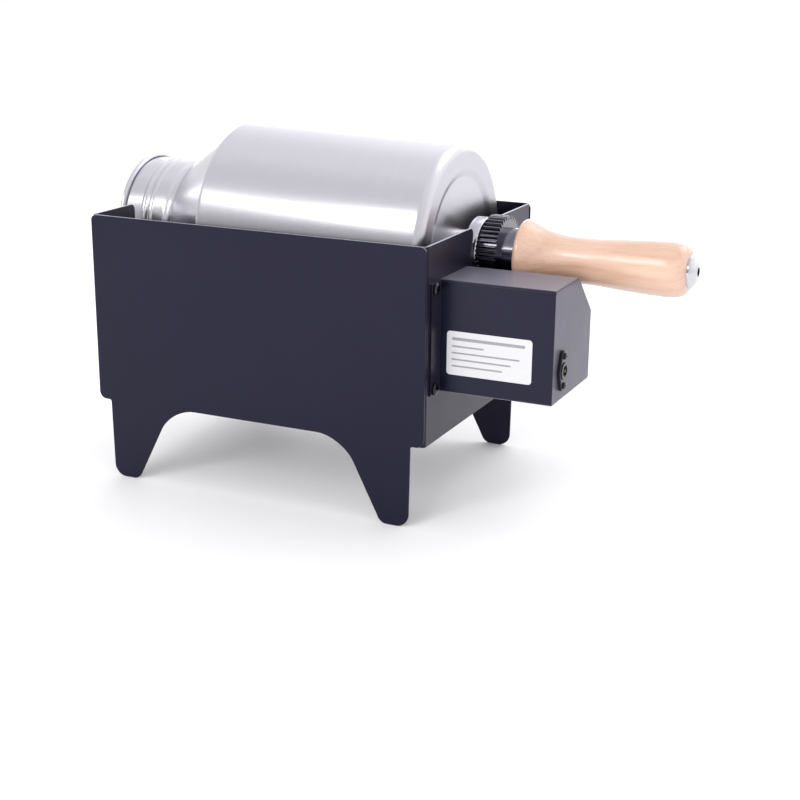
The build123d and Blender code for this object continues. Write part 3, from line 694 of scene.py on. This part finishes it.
def makeScrew(name, size):
    at = Vector(size["places"][0])
    middle = spot(*at)
    edge = size["height"] * screwHead["skirt"]
    clearSelection()
    bpy.ops.mesh.primitive_cylinder_add(
        vertices=screwHead["sides"], radius=size["head"] * mm, depth=edge * mm, rotation=(0, pi / 2, 0),
        location=spot(at.x + edge / 2, at.y, at.z))
    obj = named(name)
    openMesh(obj)
    pickFaces(obj, lambda co, normal: normal.x < -0.9)  # the shank leaves the flat underside
    bpy.ops.mesh.extrude_region_move()
    share = size["shank"] / size["head"]
    bpy.ops.transform.resize(value=(1, share, share), center_override=middle)
    bpy.ops.mesh.extrude_region_move(TRANSFORM_OT_translate={"value": (-size["length"] * mm, 0, 0)})
    pickFaces(obj, lambda co, normal: normal.x > 0.9 and co.x > middle.x)  # the crown narrows in steps
    wide = 1.0
    for width, lift in screwHead["crown"]:
        rise = (lift * size["height"] * mm, 0, 0)
        bpy.ops.mesh.extrude_region_move(TRANSFORM_OT_translate={"value": rise})
        bpy.ops.transform.resize(value=(1, width / wide, width / wide), center_override=middle)
        wide = width
    closeMesh()
    clearSelection()
    deep = size["height"] * screwHead["crossDepth"]
    bpy.ops.mesh.primitive_cube_add(size=1, location=spot(at.x + size["height"], at.y, at.z))
    bpy.context.object.scale = (2 * deep * mm, size["slot"] * mm, size["cross"] * mm)
    cross = named("crossTool")
    openMesh(cross)
    bpy.ops.mesh.select_all(action="SELECT")
    bpy.ops.mesh.duplicate()
    bpy.ops.transform.rotate(value=pi / 2, orient_axis="X", center_override=middle)
    pickFaces(cross, lambda co, normal: normal.x < -0.9)  # the recess tapers towards its bottom
    taper = screwHead["crossTaper"]
    bpy.ops.transform.resize(value=(1, taper, taper), center_override=middle)
    closeMesh()
    makeActive(obj)
    cut = obj.modifiers.new("cross", "BOOLEAN")
    cut.operation = "DIFFERENCE"
    cut.solver = "EXACT"
    cut.use_self = True
    cut.object = cross
    bpy.ops.object.modifier_apply(modifier=cut.name)
    bpy.data.objects.remove(cross)
    bpy.ops.object.shade_smooth_by_angle(angle=radians(screwHead["smooth"]))
    return obj


for name, size, node in (
    ("coverScrew", coverScrew, "cover_screws"),
    ("jackScrew", jackScrew, "jack_screws"),
):
    first = makeScrew(name + "1", size)
    start = Vector(size["places"][0])
    dress(first, screwMaterial, "stand", "screw_steel", node)
    for number, place in enumerate(size["places"][1:], 2):
        twin = copyPiece(first, name + str(number), (Vector(place) - start) * mm)
        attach(twin, "stand")
        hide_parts(node)
print("screws done")


# blank rating label on the motor box, with plain rules for its lines

label = {
    "left": 119.4, "right": 171.9, "low": 92.5, "high": 118.7, "face": -65.5, "film": 0.14, "corner": 2.0,
    "cornerSegments": 6, "edge": 0.04, "ink": 0.02, "ruleRound": 0.9,
    "rules": [(0.06, 0.92, 0.83, 0.035), (0.06, 0.44, 0.66, 0.02), (0.06, 0.86, 0.51, 0.02),
              (0.06, 0.76, 0.36, 0.02), (0.06, 0.66, 0.21, 0.02)],  # start, end, level, weight
}


def makePlate(name, left, right, low, high, face, thick, corner):
    clearSelection()
    bpy.ops.mesh.primitive_plane_add(
        size=1, rotation=(pi / 2, 0, 0), location=spot((left + right) / 2, face, (low + high) / 2))
    bpy.context.object.scale = ((right - left) * mm, (high - low) * mm, 1)
    obj = named(name)
    openMesh(obj)
    for x in (left, right):
        for z in (low, high):
            roundCorner(obj, spot(x, face, z), corner, label["cornerSegments"])
    closeMesh()
    giveThickness(obj, thick, 1)
    return obj


labelPlate = makePlate("ratingLabel", label["left"], label["right"], label["low"], label["high"],
                       label["face"], label["film"], label["corner"])
roundEdges(labelPlate, label["edge"], segments=2)
labelPlate.data.materials.append(labelMaterial)
wide, tall = label["right"] - label["left"], label["high"] - label["low"]
rules = []
for number, (start, end, level, weight) in enumerate(label["rules"], 1):
    rule = makePlate("labelRule" + str(number), label["left"] + start * wide, label["left"] + end * wide,
                     label["low"] + (level - weight) * tall, label["low"] + (level + weight) * tall,
                     label["face"] - label["film"], label["ink"], weight * tall * label["ruleRound"])
    rule.data.materials.append(inkMaterial)
    rules.append(rule)
clearSelection()
for rule in rules:
    rule.select_set(True)
labelPlate.select_set(True)
bpy.context.view_layer.objects.active = labelPlate
bpy.ops.object.join()
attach(labelPlate, "stand")
print("label done")


# what stays inside keeps its own mesh

for node, material in (
    ("drum_vanes", drumMaterial), ("bearing_balls", bearingMaterial), ("bearing_shields", bearingMaterial),
    ("gear_set_screw", screwMaterial), ("motor_bracket", zincMaterial), ("bracket_screws", screwMaterial),
    ("gearbox", motorMaterial), ("gearbox_screws", screwMaterial), ("motor_can", motorMaterial),
    ("motor_terminals", brassMaterial), ("output_shaft", turnedMaterial), ("jack_pin", brassMaterial),
    ("jack_sleeve", nickelMaterial), ("jack_nuts", screwMaterial), ("motor_leads", leadMaterial),
):
    dressNode(node, material)
print("inner pieces dressed")


# studio: pale floor, soft boxes and the camera at the photograph's angle

floorPlan = {"size": 40.0, "colour": (0.95, 0.95, 0.953), "roughness": 0.7}
clearSelection()
bpy.ops.mesh.primitive_plane_add(size=floorPlan["size"])
floor = named("floor")
floorMaterial = startMaterial("paleFloor", floorPlan["colour"], floorPlan["roughness"])[0]
floor.data.materials.append(floorMaterial)

sky = {
    "tilt": (0.43, 0.88, 0.2), "strength": 1.0, "tint": (0.995, 0.99, 1.015),
    "stops": [(0.0, 0.15), (0.03, 0.3), (0.05, 0.45), (0.08, 0.62), (0.12, 0.74), (0.2, 0.79), (0.34, 0.85),
              (0.4, 0.87), (0.48, 0.98), (0.54, 1.02), (0.6, 1.0), (0.68, 1.05), (0.8, 1.32), (1.0, 1.5)],
}
world = bpy.data.worlds.new("studio")
scene.world = world
world.use_nodes = True
air = world.node_tree
background = air.nodes["Background"]
coords = air.nodes.new("ShaderNodeTexCoord")
lean = addNode(air, "ShaderNodeVectorMath", {"operation": "DOT_PRODUCT"}, {
    0: coords.outputs["Generated"], 1: sky["tilt"]})
level = spread(air, lean.outputs["Value"], 0, 1, -1, 1)
stops = [(place, [tone * part for part in sky["tint"]]) for place, tone in sky["stops"]]
air.links.new(ramp(air, level, stops), background.inputs["Color"])
background.inputs["Strength"].default_value = sky["strength"]

lamps = [  # the fill only lights, the other boxes also show in the metal
    {"name": "frontBox", "place": (-1.027, -1.408, 1.262), "aim": (-0.06, 0, 0.17), "roll": -7,
     "size": (1.1, 0.19), "power": 2.3, "mirrored": True},
    {"name": "gripBox", "place": (-0.4, -1.61, 1.25), "aim": (0.13, 0, 0.15), "roll": 0,
     "size": (0.34, 0.46), "power": 4.5, "mirrored": True},
    {"name": "leftBox", "place": (-1.78, 0.6, 0.33), "aim": (-0.06, 0, 0.17), "roll": 40,
     "size": (1.3, 0.1), "power": 1.1, "mirrored": True},
    {"name": "fillBox", "place": (-0.4, -2.05, 0.62), "aim": (0.1, 0, 0.13), "roll": 0,
     "size": (1.6, 1.1), "power": 28, "mirrored": False},
    {"name": "sideBox", "place": (0.75, 1.15, 1.6), "aim": (0, 0, 0.15), "roll": 0,
     "size": (1.0, 1.0), "power": 4.5, "mirrored": True},
    {"name": "backBox", "place": (-0.9, 3.0, 0.75), "aim": (0, 0, 0.15), "roll": 0,
     "size": (3.5, 0.9), "power": 16, "mirrored": True},
]


def setUp(name, data, plan):  # a lamp or the camera, put in its place and turned to its aim
    obj = bpy.data.objects.new(name, data)
    scene.collection.objects.link(obj)
    obj.location = plan["place"]
    obj.rotation_mode = "QUATERNION"
    facing = (Vector(plan["aim"]) - Vector(plan["place"])).to_track_quat("-Z", "Y")
    obj.rotation_quaternion = facing @ Matrix.Rotation(radians(plan["roll"]), 3, "Z").to_quaternion()
    return obj


for lamp in lamps:
    data = bpy.data.lights.new(lamp["name"], "AREA")
    data.shape = "RECTANGLE"
    data.size, data.size_y = lamp["size"]
    data.energy = lamp["power"]
    light = setUp(lamp["name"], data, lamp)
    light.visible_glossy = lamp["mirrored"]

view = {
    "place": (0.3814, -0.8278, 0.3310), "aim": (-0.00035, 0.0, 0.05009), "roll": 0.58,
    "lens": 66.29, "sensor": 36.0, "nearest": 0.01, "farthest": 100.0,
}
cameraData = bpy.data.cameras.new("camera")
cameraData.sensor_width = view["sensor"]
cameraData.lens = view["lens"]
cameraData.clip_start = view["nearest"]
cameraData.clip_end = view["farthest"]
scene.camera = setUp("camera", cameraData, view)
scene.view_settings.view_transform = "Standard"
print("studio set")
